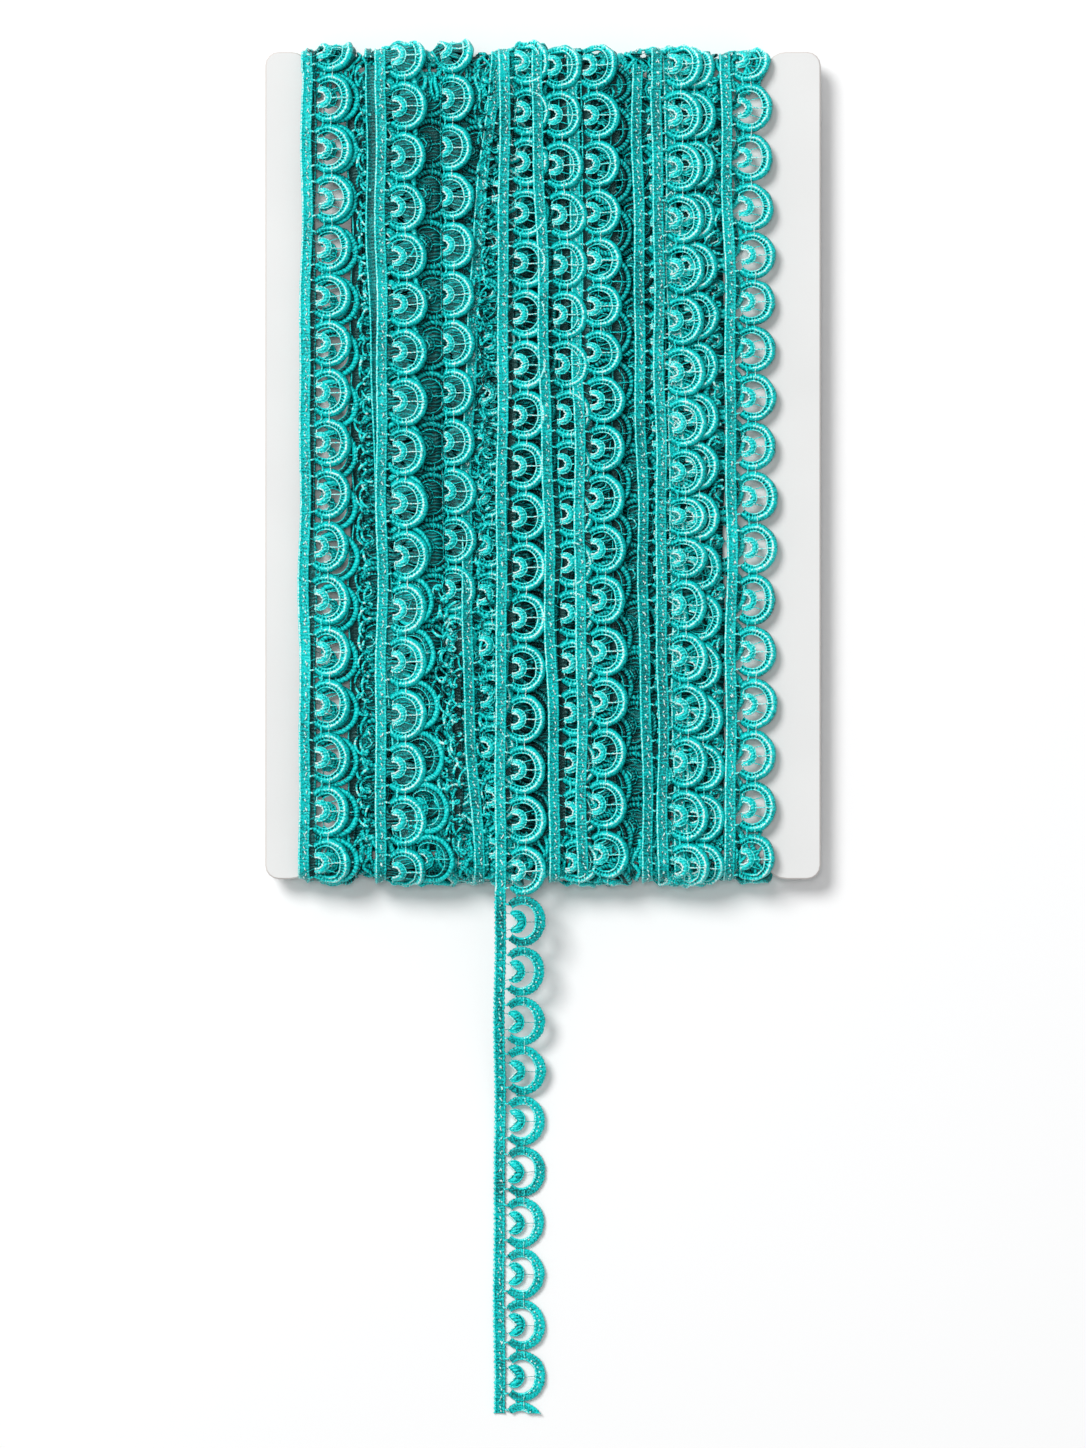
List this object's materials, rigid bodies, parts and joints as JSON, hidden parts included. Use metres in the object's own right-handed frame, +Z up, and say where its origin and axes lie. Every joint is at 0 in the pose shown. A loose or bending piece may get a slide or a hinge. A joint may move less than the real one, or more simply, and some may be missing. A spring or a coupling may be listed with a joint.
{
  "type": "crochet lace trim wound on a card",
  "caption": "Narrow scalloped crochet lace trim wound side by side round a flat notched card, with its last turn running off one end as a free length.",
  "frame": {"origin": "on the surface that the part lies on, under the middle of the card", "axes": "+Y along the card, away from the free length; +Z up, out of the front of the card; +X to the right seen from the front with +Y away"},
  "size_m": [0.141, 0.3475, 0.013],
  "materials": {
    "trim_thread": "satin twisted thread, crocheted",
    "card_board": "smooth matte white with a rubbed-down edge"
  },
  "bodies": {
    "root": {"card": "card_board", "wound_trim": "trim_thread", "free_length": "trim_thread"}
  },
  "joints": []
}
